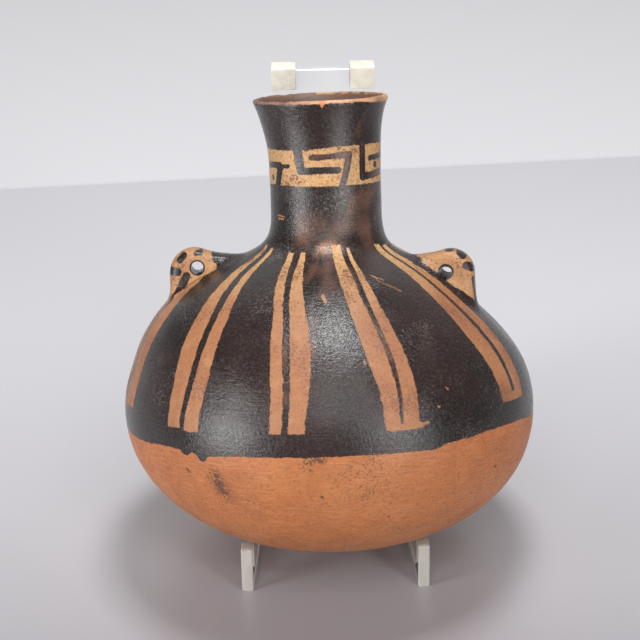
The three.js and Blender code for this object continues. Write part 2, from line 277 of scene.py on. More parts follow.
class JarCurve:
    """The jar's outer outline, and where a point lies beside it."""

    def __init__(self, jar, rows):
        self.jar = jar
        self.shoulder_end = jar.neck_radius + NECK_FILLET
        self.neck_start = jar.shoulder_height + NECK_FOOT_RISE
        self.rim_height = self.neck_start + jar.neck_length
        self.points = self.outer(rows)

    def outer(self, rows):
        jar = self.jar
        quarter = math.pi / 2
        points = []
        for i in range(rows["base"] + 1):
            p = quarter_point(quarter * i / rows["base"], jar.body_radius, jar.base_drop, BASE_FULLNESS)
            points.append(Vector((p.x, -p.y)))
        points[0].x = 0
        end = math.asin((self.shoulder_end / jar.body_radius) ** (SHOULDER_FULLNESS / 2))

        def shoulder(angle):
            return quarter_point(angle, jar.body_radius, jar.shoulder_height, SHOULDER_FULLNESS)

        points += [shoulder(quarter + (end - quarter) * i / rows["shoulder"])
                   for i in range(1, rows["shoulder"] + 1)]
        slope = (points[-1] - shoulder(end + 0.01)).normalized()
        foot = Vector((jar.neck_radius, self.neck_start))
        reach = (foot - points[-1]).length / 2
        handles = (points[-1], points[-1] + slope * reach, foot - Vector((0, reach)), foot)
        for i in range(1, rows["fillet"] + 1):
            t = i / rows["fillet"]
            weights = ((1 - t) ** 3, 3 * t * (1 - t) ** 2, 3 * t * t * (1 - t), t ** 3)
            points.append(sum((h * w for h, w in zip(handles, weights)), Vector((0, 0))))
        for i in range(1, rows["neck"] + 1):
            t = i / rows["neck"]
            flare = (jar.rim_radius - jar.neck_radius) * t ** NECK_FLARE
            points.append(Vector((jar.neck_radius + flare, self.neck_start + t * jar.neck_length)))
        return points

    def inset(self, depth):
        moved = []
        last = len(self.points) - 1
        for i, point in enumerate(self.points):
            along = (self.points[min(i + 1, last)] - self.points[max(i - 1, 0)]).normalized()
            if i == 0:
                along = Vector((1, 0))
            if i == last:
                along = Vector((0, 1))
            taper = smooth_step(point.y, self.rim_height - LIP_TAPER_LENGTH, self.rim_height)
            thin = depth * (1 - LIP_TAPER * taper)
            moved.append(Vector((max(point.x - along.y * thin, 0), point.y + along.x * thin)))
        return moved

    def lip(self, steps):
        outer, inner = self.points[-1], self.inset(self.jar.wall)[-1]
        centre, radius = (outer + inner) / 2, (outer - inner).length / 2
        angles = [math.pi * i / steps for i in range(1, steps)]
        return [centre + Vector((math.cos(a), math.sin(a))) * radius for a in angles]

    def radius_at(self, height):
        points = self.points
        if height <= points[0].y:
            return 0
        for low, high in zip(points, points[1:]):
            if low.y <= height <= high.y:
                t = (height - low.y) / max(high.y - low.y, 1e-9)
                return low.x + (high.x - low.x) * t
        return points[-1].x

    def drift(self, height):
        share = height / (self.jar.base_drop if height < 0 else self.rim_height)
        if share <= DRIFT[0][0]:
            return DRIFT[0][1] * MM
        for (start, offset), (end, offset_end) in zip(DRIFT, DRIFT[1:]):
            if share <= end:
                return (offset + (offset_end - offset) * smooth_step(share, start, end)) * MM
        return DRIFT[-1][1] * MM

    def rim_rise(self, x, height):
        return smooth_step(height, self.neck_start, self.rim_height) * math.tan(RIM_SLANT) * x

    def bend(self, co):
        """From the even turned shape to the hand-built one."""
        return Vector((co.x + self.drift(co.z), co.y, co.z + self.rim_rise(co.x, co.z)))

    def unbend(self, co):
        x = co.x - self.drift(co.z)
        return Vector((x, co.y, co.z - self.rim_rise(x, co.z)))


def turned(outline, steps):
    """Spins an outline of radius and height points into a closed body."""
    bm = bmesh.new()
    verts = [bm.verts.new((p.x, 0, p.y)) for p in outline]
    edges = [bm.edges.new(pair) for pair in zip(verts, verts[1:])]
    bmesh.ops.spin(bm, geom=verts + edges, cent=(0, 0, 0), axis=(0, 0, 1), dvec=(0, 0, 0),
                   angle=math.tau, steps=steps, use_merge=True, use_duplicate=False)
    bmesh.ops.remove_doubles(bm, verts=bm.verts, dist=1e-6)
    bmesh.ops.recalc_face_normals(bm, faces=bm.faces)
    return bm


def lug_outline(saddle, root):
    """The lug in its own plane: outwards is x, up is y, and the eye's centre is at zero."""
    eye, toe, drop, web = 12.3 * MM, 2.5 * MM, 22 * MM, 8 * MM
    start = math.radians(115)
    join = Vector((math.cos(start), math.sin(start))) * eye

    def curve(a, b, c, steps=10):
        return [a * (1 - t) ** 2 + b * 2 * t * (1 - t) + c * t * t
                for t in (k / steps for k in range(1, steps + 1))]

    points = [Vector((root - web, saddle)), Vector((root, saddle))]
    points += curve(points[-1], Vector((-eye, saddle)), join)
    points += [Vector((math.cos(a), math.sin(a))) * eye
               for a in (start * (1 - k / 24) for k in range(1, 25))]
    points += curve(points[-1], Vector((eye, -eye)), Vector((eye + toe, -drop)))
    points += [Vector((eye + toe, -drop - web)), Vector((root - web, -drop - web))]
    return points


def lug_place(lug, curve):
    """Matrix from a lug's own plane to the jar."""
    height = curve.jar.shoulder_height - LUG_BELOW_SHOULDER
    share = (height / curve.jar.shoulder_height) ** SHOULDER_FULLNESS
    reach = curve.jar.body_radius * (1 - share) ** (1 / SHOULDER_FULLNESS) + LUG_REACH
    out = Matrix.Translation((reach, 0, height + lug["rise"] * MM))
    side = Matrix.Rotation(math.pi if lug["side"] < 0 else 0, 4, "Z")
    turn = Matrix.Rotation(math.radians(-lug["side"] * lug["turn"]), 4, "Z")
    return Matrix.Translation((-LUGS_TO_LEFT, 0, 0)) @ turn @ side @ out, reach


def jar_matrix(jar):
    """Where the jar leans in its stand, so that its lowest point clears the floor."""
    low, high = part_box("vessel")
    lean = Matrix.Rotation(-jar.lean, 4, "X")
    middle = (low.x + high.x) / 2 + STAND_MIDDLE + JAR_CENTRE[0]
    return Matrix.Translation((middle, *JAR_CENTRE[1:])) @ lean


def soften_joins(piece, curve, places):
    """Rounds the clay where the lugs were pressed onto the shoulder."""
    bm = bmesh.new()
    bm.from_mesh(piece.data)
    inner_limit, half_height = -26 * MM, 30 * MM
    for turns, reach, spread in ((6, 9 * MM, 12 * MM), (8, 5 * MM, 10 * MM)):
        near = []
        for v in bm.verts:
            for place, _ in places:
                local = place.inverted() @ v.co
                if abs(local.y) > spread or local.x < inner_limit or abs(local.z) > half_height:
                    continue
                flat = curve.unbend(v.co)
                over = math.hypot(flat.x, flat.y) - curve.radius_at(flat.z)
                if -1 * MM < over < reach:
                    near.append(v)
        for _ in range(turns):
            bmesh.ops.smooth_vert(bm, verts=near, factor=0.5, use_axis_x=True, use_axis_y=True,
                                  use_axis_z=True)
    bm.to_mesh(piece.data)
    bm.free()


def hand_dents(piece):
    """Shallow unevenness of a wall that was built and burnished by hand."""
    mesh = piece.data
    normals = [v.normal.copy() for v in mesh.vertices]
    for v, normal in zip(mesh.vertices, normals):
        broad = noise.noise(v.co * DENTS_PER_METRE)
        fine = noise.noise(v.co * RIPPLES_PER_METRE + Vector((3, 1, 7)))
        depth = DENT_DEPTH * (0.2 - broad) - RIPPLE_DEPTH * fine
        v.co -= normal * depth * MM * smooth_step(v.co.z, *DENTED_FROM)


def mark_surface(piece, curve):
    """Wraps a map round the jar, marks its inner wall and its lugs, and parts it into painted zones."""
    mesh = piece.data
    spots = []
    floor_below, lug_level, lug_spread, lug_skin = -50 * MM, 62 * MM, 40 * MM, (0.4 * MM, 2.2 * MM)
    inside = mesh.attributes.new("inside", "FLOAT", "POINT")
    lug = mesh.attributes.new("lug", "FLOAT", "POINT")
    for v in mesh.vertices:
        flat = curve.unbend(v.co)
        radius = math.hypot(flat.x, flat.y)
        over = radius - curve.radius_at(min(flat.z, curve.rim_height))
        spots.append((math.atan2(flat.x, -flat.y) / math.tau + 0.5, (flat.z - WRAP_LOW) / WRAP_SPAN))
        inner = v.normal.z > 0.3 if flat.z < floor_below else over < -curve.jar.wall * 0.55
        inside.data[v.index].value = 1.0 if inner else 0.0
        raised = smooth_step(over, *lug_skin)
        lug.data[v.index].value = raised if abs(flat.z - lug_level) < lug_spread else 0
    wrap = mesh.uv_layers.new(name=WRAP)
    for face in mesh.polygons:
        around = [spots[mesh.loops[i].vertex_index][0] for i in face.loop_indices]
        crosses = max(around) - min(around) > 0.5
        for i, u in zip(face.loop_indices, around):
            wrap.data[i].uv = (u + 1 if crosses and u < 0.5 else u, spots[mesh.loops[i].vertex_index][1])
        height = sum(spots[i][1] for i in face.vertices) / len(face.vertices) * WRAP_SPAN + WRAP_LOW
        if height > SHOULDER_TOP * MM or any(inside.data[i].value for i in face.vertices):
            face.material_index = NECK
        elif any(lug.data[i].value for i in face.vertices):
            face.material_index = LUG
        else:
            face.material_index = SHOULDER if height > BASE_TOP else BASE


def shape_jar(jar):
    curve = JarCurve(jar, {"base": 46, "shoulder": 40, "fillet": 14, "neck": 26})
    inner = curve.inset(jar.wall)
    body = turned([*curve.points, *curve.lip(12), *reversed(inner)], 240)
    for v in body.verts:
        v.co = curve.bend(v.co)
    smooth_body = loose_object(body, "smooth_body")
    piece = loose_object(bmesh.new(), "jar")
    piece.data = smooth_body.data.copy()
    core_outline = [*curve.inset(jar.wall / 2), Vector((0, curve.rim_height))]
    places = [lug_place(lug, curve) for lug in LUGS]
    for lug, (place, reach) in zip(LUGS, places):
        root = curve.shoulder_end - reach - 8 * MM
        fin = sheet_from_outline(lug_outline(lug["saddle"] * MM, root), LUG_THICKNESS, LUG_ROUNDING, 5)
        fin.transform(place)
        fin = loose_object(fin, "fin")
        core = turned(core_outline, 120)
        for v in core.verts:
            v.co = curve.bend(v.co)
        cut_or_join(fin, loose_object(core, "core"), "DIFFERENCE")
        cut_or_join(piece, fin, "UNION")
    remesh = piece.modifiers.new("even", "REMESH")
    remesh.mode = "VOXEL"
    remesh.voxel_size = VOXEL
    bake_modifiers(piece)
    settle_on_body(piece, smooth_body, places)
    soften_joins(piece, curve, places)
    for lug, (place, _) in zip(LUGS, places):
        bore = bmesh.new()
        bmesh.ops.create_cone(bore, cap_ends=True, segments=48, radius1=LUG_HOLE, radius2=LUG_HOLE,
                              depth=40 * MM)
        tilt = Matrix.Rotation(math.pi / 2 + lug["side"] * math.radians(lug["dip"]), 4, "X")
        shift = Matrix.Translation((lug["hole_out"] * MM, 0, lug["hole_up"] * MM))
        bore.transform(place @ shift @ tilt)
        cut_or_join(piece, loose_object(bore, "bore"), "DIFFERENCE")
    bpy.data.objects.remove(smooth_body)
    hand_dents(piece)
    mark_surface(piece, curve)
    piece.data.transform(jar_matrix(jar))
    return piece


def settle_on_body(piece, body, places):
    """Draws the remeshed wall back onto the turned body, away from the lugs."""
    group = piece.vertex_groups.new(name="wall")
    half_width, inner_limit, half_height = 13 * MM, -30 * MM, 34 * MM
    free = []
    for v in piece.data.vertices:
        for place, _ in places:
            local = place.inverted() @ v.co
            if abs(local.y) < half_width and local.x > inner_limit and abs(local.z) < half_height:
                break
        else:
            free.append(v.index)
    group.add(free, 1.0, "REPLACE")
    wrap = piece.modifiers.new("settle", "SHRINKWRAP")
    wrap.wrap_method = "NEAREST_SURFACEPOINT"
    wrap.target = body
    wrap.vertex_group = "wall"
    bake_modifiers(piece)
    piece.vertex_groups.clear()


# node helpers

def new_material(name):
    material = bpy.data.materials.new(name)
    material.use_nodes = True
    return material, material.node_tree, material.node_tree.nodes["Principled BSDF"]


def put(tree, value, socket):
    if isinstance(value, bpy.types.NodeSocket):
        tree.links.new(value, socket)
    else:
        socket.default_value = value


def maths(tree, operation, *values, clamp=False):
    node = tree.nodes.new("ShaderNodeMath")
    node.operation = operation
    node.use_clamp = clamp
    for value, socket in zip(values, node.inputs):
        put(tree, value, socket)
    return node.outputs[0]


def times(tree, first, second):
    return maths(tree, "MULTIPLY", first, second)


def minus(tree, first, second):
    return maths(tree, "SUBTRACT", first, second)


def scaled(tree, value, factor, added):
    return maths(tree, "MULTIPLY_ADD", value, factor, added)


def vector(tree, operation, *values, out="Vector"):
    node = tree.nodes.new("ShaderNodeVectorMath")
    node.operation = operation
    for value, socket in zip(values, node.inputs):
        put(tree, value, socket)
    return node.outputs[out]


def ease(tree, value, low, high, to_low=0.0, to_high=1.0):
    """A soft step from one level to another."""
    node = tree.nodes.new("ShaderNodeMapRange")
    node.interpolation_type = "SMOOTHSTEP"
    for given, socket in zip((value, low, high, to_low, to_high), node.inputs):
        put(tree, given, socket)
    return node.outputs[0]


def mix(tree, factor, first, second, blend="MIX"):
    node = tree.nodes.new("ShaderNodeMix")
    node.data_type = "RGBA"
    node.blend_type = blend
    put(tree, factor, node.inputs["Factor"])
    for value, name in ((first, "A"), (second, "B")):
        socket = [s for s in node.inputs if s.name == name and s.type == "RGBA"][0]
        put(tree, value if isinstance(value, bpy.types.NodeSocket) else (*value, 1.0), socket)
    return [s for s in node.outputs if s.type == "RGBA"][0]


def grain(tree, where, scale, detail=3.0, rough=0.55):
    """Noise between 0 and 1."""
    node = tree.nodes.new("ShaderNodeTexNoise")
    put(tree, where, node.inputs["Vector"])
    node.inputs["Scale"].default_value = scale
    node.inputs["Detail"].default_value = detail
    node.inputs["Roughness"].default_value = rough
    return node.outputs["Fac"]


def make_vector(tree, x, y, z=0.0):
    node = tree.nodes.new("ShaderNodeCombineXYZ")
    for value, socket in zip((x, y, z), node.inputs):
        put(tree, value, socket)
    return node.outputs[0]


def split(tree, value):
    node = tree.nodes.new("ShaderNodeSeparateXYZ")
    put(tree, value, node.inputs[0])
    return node.outputs[0], node.outputs[1], node.outputs[2]


def marked(tree, name):
    """The mesh's own mark of that name, such as its inner wall."""
    node = tree.nodes.new("ShaderNodeAttribute")
    node.attribute_name = name
    return node.outputs["Fac"]


def raise_relief(tree, shader, height, strength, distance):
    """Fine relief on a shader's surface."""
    bump = tree.nodes.new("ShaderNodeBump")
    bump.inputs["Strength"].default_value = strength
    bump.inputs["Distance"].default_value = distance
    tree.links.new(height, bump.inputs["Height"])
    tree.links.new(bump.outputs["Normal"], shader.inputs["Normal"])


def new_group(name, inputs, output):
    """A node group with named inputs of (name, type, default) and one named output."""
    tree = bpy.data.node_groups.new(name, "ShaderNodeTree")
    for label, kind, default in inputs:
        socket = tree.interface.new_socket(label, in_out="INPUT", socket_type="NodeSocket" + kind)
        socket.default_value = default
    tree.interface.new_socket(output, in_out="OUTPUT", socket_type="NodeSocketFloat")
    given = tree.nodes.new("NodeGroupInput")
    result = tree.nodes.new("NodeGroupOutput")
    return tree, given.outputs, result.inputs[0]


def use_group(tree, group, **values):
    node = tree.nodes.new("ShaderNodeGroup")
    node.node_tree = group
    for label, value in values.items():
        put(tree, value, node.inputs[label.replace("_", " ")])
    return node.outputs[0]


def stroke_group():
    """A straight brush stroke with round ends, drawn on a flat map."""
    tree, given, result = new_group("brush stroke", (
        ("Place", "Vector", (0, 0, 0)), ("Start", "Vector", (0, 0, 0)), ("End", "Vector", (1, 0, 0)),
        ("Width", "Float", 1.0), ("Softness", "Float", 0.25)), "Mask")
    run = vector(tree, "SUBTRACT", given["End"], given["Start"])
    off = vector(tree, "SUBTRACT", given["Place"], given["Start"])
    share = maths(tree, "DIVIDE", vector(tree, "DOT_PRODUCT", off, run, out="Value"),
                  vector(tree, "DOT_PRODUCT", run, run, out="Value"), clamp=True)
    along = tree.nodes.new("ShaderNodeVectorMath")
    along.operation = "SCALE"
    put(tree, run, along.inputs[0])
    put(tree, share, along.inputs["Scale"])
    gap = vector(tree, "LENGTH", vector(tree, "SUBTRACT", off, along.outputs[0]), out="Value")
    beyond = minus(tree, gap, times(tree, given["Width"], 0.5))
    low = times(tree, given["Softness"], -1.0)
    put(tree, ease(tree, beyond, low, given["Softness"], 1.0, 0.0), result)
    return tree


def stripe_group():
    """A tapering stripe down the shoulder: left edge, right edge and height at three levels."""
    tree, given, result = new_group("painted stripe", (
        ("Azimuth", "Float", 0.0), ("Height", "Float", 0.0), ("Foot", "Vector", (0, 0, 0)),
        ("Middle", "Vector", (0, 0, 45)), ("Top", "Vector", (0, 0, 82))), "Mask")
    foot_left, foot_right, foot_height = split(tree, given["Foot"])
    middle_left, middle_right, middle_height = split(tree, given["Middle"])
    top_left, top_right, top_height = split(tree, given["Top"])
    low = ease(tree, given["Height"], foot_height, middle_height)
    rise = maths(tree, "DIVIDE", minus(tree, given["Height"], middle_height),
                 minus(tree, top_height, middle_height), clamp=True)
    high = maths(tree, "POWER", rise, 2.1)

    def edge(foot, middle, top):
        first = scaled(tree, minus(tree, middle, foot), low, foot)
        return scaled(tree, minus(tree, top, middle), high, first)

    from_left = minus(tree, given["Azimuth"], edge(foot_left, middle_left, top_left))
    from_right = minus(tree, edge(foot_right, middle_right, top_right), given["Azimuth"])
    across = ease(tree, maths(tree, "MINIMUM", from_left, from_right), -0.18, 0.18)
    ends = maths(tree, "MINIMUM", minus(tree, given["Height"], foot_height),
                 minus(tree, top_height, given["Height"]))
    put(tree, times(tree, across, ease(tree, ends, -0.25, 0.25)), result)
    return tree


def speck_group():
    """Scattered specks, where a fine grain passes a level inside a broad patch."""
    tree, given, result = new_group("specks_and_glints", (
        ("Place", "Vector", (0, 0, 0)), ("Size", "Float", 800.0), ("Patch", "Float", 40.0),
        ("Level", "Float", 0.62), ("Softness", "Float", 0.06)), "Mask")
    grains = []
    for size in ("Size", "Patch"):
        node = tree.nodes.new("ShaderNodeTexNoise")
        put(tree, given["Place"], node.inputs["Vector"])
        put(tree, given[size], node.inputs["Scale"])
        node.inputs["Detail"].default_value = 2.0
        grains.append(node.outputs["Fac"])
    fine, broad = grains
    both = scaled(tree, broad, 0.5, times(tree, fine, 0.7))
    high = maths(tree, "ADD", given["Level"], given["Softness"])
    put(tree, ease(tree, both, given["Level"], high), result)
    return tree


# Stripes in pairs: left edge, right edge in degrees and height in mm, at the foot, the middle and the top
STRIPES = (
    ((-91, -83.5, 4), (-93, -84, 48), (-104, -98, 80)),
    ((-80, -71, 5.4), (-80, -70, 45), (-96, -86, 72)),
    ((-49.6, -44.8, 2.6), (-50.1, -42.9, 48), (-71, -66, 82)),
    ((-43, -38, 2.1), (-40.2, -35.3, 50), (-57.5, -53.5, 81)),
    ((-16.7, -13.4, 4.1), (-16.8, -12.9, 48), (-33, -28, 80)),
    ((-11.8, -7.3, 4.1), (-10.4, -4.0, 46), (-22, -17.5, 80)),
    ((14, 18.1, 4.2), (12.4, 19, 46), (3.4, 12, 83.5)),
    ((18.9, 23.4, 4.4), (21, 25.3, 46), (17.8, 20.4, 82)),
    ((54.6, 60.6, 8.5), (53.3, 61.8, 46), (48.5, 56.2, 82)),
    ((62.4, 67.4, 8.5), (64.3, 71, 46), (60.5, 68.5, 81)),
    ((93, 98.5, 5), (92, 98.5, 46), (84, 89, 81)),
    ((101, 106.5, 5), (101, 107, 46), (95, 99, 81)),
    ((129, 134.5, 4), (128, 134.5, 46), (122, 127, 81)),
    ((137, 142, 4), (137, 143, 46), (132, 136, 81)),
    ((164, 169.5, 5), (163, 169.5, 46), (158, 163, 81)),
    ((172, 177, 5), (172, 178, 46), (167, 172, 81)),
    ((-160, -154.5, 4), (-161, -154.5, 46), (-166, -161, 81)),
    ((-152, -147, 4), (-152, -146, 46), (-157, -152, 81)),
    ((-125, -119.5, 5), (-126, -119.5, 46), (-134, -129, 81)),
    ((-117, -112, 5), (-117, -111, 46), (-125, -120, 81)),
)

# Lower edge of the dark slip round the jar, in degrees and mm
SLIP_EDGE = (
    (-180, -7), (-130, -6), (-83, -8.2), (-62, -8.7), (-51, -7.6), (-44.5, -8), (-42.8, -10.4),
    (-41, -8.2), (-39, -9.6), (-37.3, -12.4), (-35.4, -9.2), (-30, -8.5), (-20, -7.4), (-7, -7),
    (8, -6.6), (19, -6.6), (28.5, -6.9), (30.5, -4.9), (40, -3.6), (52, -2.4), (62, -2.6),
    (76, -4.8), (110, -6), (150, -7.5), (180, -7),
)

# Dark strokes over the neck's buff band: start, end (degrees, mm) and width in mm
KEY_STROKES = (
    ((-90, 125), (-90, 108), 4.4),
    ((-84, 121.8), (-53, 122), 3.3),
    ((-53, 121.5), (-61, 109), 4.6),
    ((-69, 115.8), (-68.4, 115.4), 2.8),
    ((-50, 121.6), (-41, 121.8), 2.2),
    ((-28.5, 134), (-26.5, 120.5), 4.6),
    ((-31.5, 134), (-27.5, 119.5), 3.2),
    ((-26.5, 119.6), (12.4, 119.9), 3.5),
    ((-14, 126.2), (24.5, 127.3), 3.0),
    ((24.2, 126.9), (20, 117), 3.6),
    ((20.5, 118), (14.5, 108.5), 3.5),
    ((40.5, 134), (40.5, 115.8), 3.8),
    ((41, 115.6), (96, 118), 3.6),
    ((51.5, 124.4), (96, 125), 2.8),
    ((61.6, 121), (62.4, 120.8), 3.2),
)

# Strokes that tie a pair of stripes at its foot
TIES = (
    ((15.5, 5.6), (24, 5.8), 3.0),
    ((24, 6.0), (26, 6.5), 1.4),
    ((56, 10.5), (66, 10.2), 4.2),
)

# Thin slip, slip rubbed through at the neck's foot, scratches and flecks, soot on the clay, and pits in the
# clay drawn dark as painted shade of their hollows:
# start, end (degrees, mm) and width in mm
THIN_SLIP = (
    ((-28, 88), (45, 89), 15),
    ((28, 104), (62, 107), 12),
    ((36, 139), (44, 143), 7),
    ((-6, 76), (-8, 68), 7),
    ((-3, 60), (-3, 40), 2.4),
    ((150, 90), (200, 88), 12),
    ((-150, 60), (-140, 30), 16),
    ((-12.6, 8), (-12.4, 45), 2.6),
    ((20.2, 12), (19.6, 46), 2.6),
    ((19.6, 46), (14.6, 80), 3.4),
    ((0, 84), (2, 70), 12),
    ((22, 99), (50, 106), 6),
    ((60, 97), (75, 103), 6),
    ((-14, 126.2), (24.5, 127.3), 3.5),
    ((24.2, 126.9), (15, 110), 4),
    ((40.5, 134), (40.5, 115.8), 4),
    ((41, 115.6), (90, 118), 4),
)
RUBBED = (
    ((-9, 81.8), (7, 82.6), 4),
)
FLECKS = (
    ((29, 68.5), (38.5, 63), 0.6),
    ((27, 70), (33, 68), 0.5),
    ((-61, 96.8), (-49, 96.3), 0.9),
    ((-60, 95.3), (-51, 95.0), 0.7),
    ((1.2, 63), (2.6, 61), 1.6),
    ((29.6, 13), (29.9, 12.8), 1.0),
    ((33.5, 21), (34, 20), 0.7),
    ((11.4, 35.5), (11.5, 34.6), 1.0),
    ((120, 30), (124, 27), 1.0),
    ((-140, 52), (-134, 49), 0.9),
)
SOOT = (
    ((-7, -9), (-3, -8), 3.5),
    ((-8, -12), (-6, -13), 2.5),
    ((-34, -19), (-33, -28), 7.5),
    ((110, -15), (118, -20), 8),
    ((-150, -14), (-140, -22), 9),
)
PITS = (
    ((-43.8, -17.2), (-43.2, -18.2), 1.4),
    ((-4, -27), (-3.7, -27.4), 1.1),
    ((52, -22), (52.4, -22.6), 1.2),
    ((16, -40), (16.2, -40.3), 0.9),
)

# Each lug's buff eye in mm: its lower limit as slope and level, its inner limit, and its dark strokes
LUG_PAINT = (
    {"lug": 0, "slope": -0.87, "level": -7.7, "inner": -11.4, "strokes": (
        ((-3.6, 10.6), (-1.4, 10.2), 2.6), ((4.6, 9.4), (6.8, 6.9), 3.2),
        ((8.2, 1.2), (11.5, 1.6), 4.4), ((-10.6, 9.6), (-11.4, 6.6), 3.2),
        ((3.6, -1.0), (9.0, -11.5), 4.0), ((9.0, -11.5), (10.5, -18), 5.0))},
    {"lug": 1, "slope": -0.76, "level": -3.3, "inner": -24, "strokes": (
        ((-14.0, 10.6), (-11.8, 10.9), 1.7), ((-8.2, 11.6), (-5.8, 12.0), 1.9),
        ((-1.6, 12.2), (1.0, 12.2), 1.9), ((4.8, 10.9), (6.8, 9.0), 3.0),
        ((8.6, 4.4), (11.4, 3.2), 4.0), ((12.0, -2), (13.4, -14), 2.2))},
)


def paint_lug(tree, here, stroke, wobble, jar, paint):
    """Mask of a lug's buff eye with its dark strokes, worked out in the lug's own plane."""
    curve = JarCurve(jar, {"base": 4, "shoulder": 4, "fillet": 2, "neck": 2})
    lug = LUGS[paint["lug"]]
    back = (jar_matrix(jar) @ lug_place(lug, curve)[0]).inverted()
    mapping = tree.nodes.new("ShaderNodeMapping")
    mapping.inputs["Location"].default_value = back.to_translation() / MM
    mapping.inputs["Rotation"].default_value = back.to_euler()
    mapping.inputs["Scale"].default_value = (1 / MM,) * 3
    tree.links.new(here, mapping.inputs["Vector"])
    out, across, up = split(tree, mapping.outputs[0])
    flat = make_vector(tree, out, up)
    limit = scaled(tree, out, paint["slope"], paint["level"])
    limit = scaled(tree, wobble, 4.0, limit)
    above = ease(tree, minus(tree, up, limit), -0.3, 0.4)
    beyond = ease(tree, out, paint["inner"] - 0.5, paint["inner"] + 0.3)
    near = ease(tree, maths(tree, "ABSOLUTE", across), 13.0, 14.0, 1.0, 0.0)
    dark = either(tree, (use_group(tree, stroke, Place=flat, Start=(*start, 0), End=(*end, 0), Width=width)
                         for start, end, width in paint["strokes"]))
    hole = (lug["hole_out"], lug["hole_up"], 0)
    ring = ease(tree, vector(tree, "DISTANCE", flat, hole, out="Value"), 3.7, 4.1)
    shape = times(tree, times(tree, above, beyond), times(tree, near, ring))
    return times(tree, shape, minus(tree, 1.0, dark))


def either(tree, masks):
    """The most of many masks, joined one by one as each is made."""
    total = None
    for mask in masks:
        total = mask if total is None else maths(tree, "MAXIMUM", total, mask)
    return total


def within(strokes, low, high):
    """The strokes that reach into a range of heights."""
    return [(start, end, width) for start, end, width in strokes
            if max(start[1], end[1]) + 1.2 * width > low and min(start[1], end[1]) - 1.2 * width < high]


